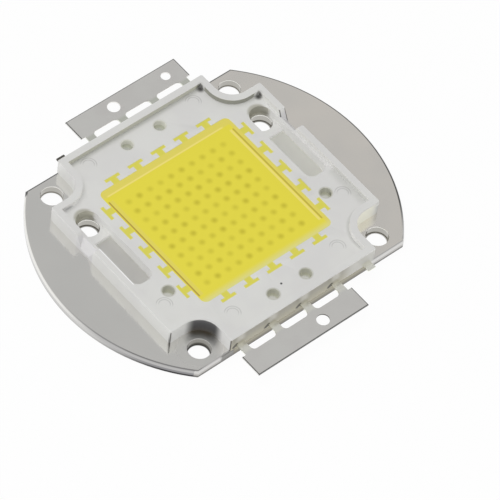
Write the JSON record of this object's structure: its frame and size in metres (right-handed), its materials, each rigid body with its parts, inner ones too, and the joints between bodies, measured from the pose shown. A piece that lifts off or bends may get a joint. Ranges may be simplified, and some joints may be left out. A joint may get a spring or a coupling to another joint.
{
  "type": "chip-on-board led module",
  "caption": "High-power chip-on-board LED with a yellow phosphor window on a round metal plate with two flat sides, plastic frame and two flat solder tabs.",
  "frame": {"origin": "centre of the plate's underside, the face that goes on the heat sink", "axes": "+Z out of the light-emitting face, +X across the plate's round sides, +Y towards the positive lead tab"},
  "size_m": [0.056, 0.052, 0.0043],
  "materials": {
    "plate_metal": "satin",
    "frame_plastic": "semi-gloss",
    "lead_metal": "plated",
    "phosphor": "satin",
    "chip": "polished",
    "bond_wire": "polished"
  },
  "bodies": {
    "root": {"base_plate": "plate_metal", "housing": "frame_plastic", "lead_negative": "lead_metal", "lead_positive": "lead_metal", "phosphor_gel": "phosphor", "die_row_01": "chip", "die_row_02": "chip", "die_row_03": "chip", "die_row_04": "chip", "die_row_05": "chip", "die_row_06": "chip", "die_row_07": "chip", "die_row_08": "chip", "die_row_09": "chip", "die_row_10": "chip", "bond_wires_01": "bond_wire", "bond_wires_02": "bond_wire", "bond_wires_03": "bond_wire", "bond_wires_04": "bond_wire", "bond_wires_05": "bond_wire", "bond_wires_06": "bond_wire", "bond_wires_07": "bond_wire", "bond_wires_08": "bond_wire", "bond_wires_09": "bond_wire", "bond_wires_10": "bond_wire"}
  },
  "joints": []
}
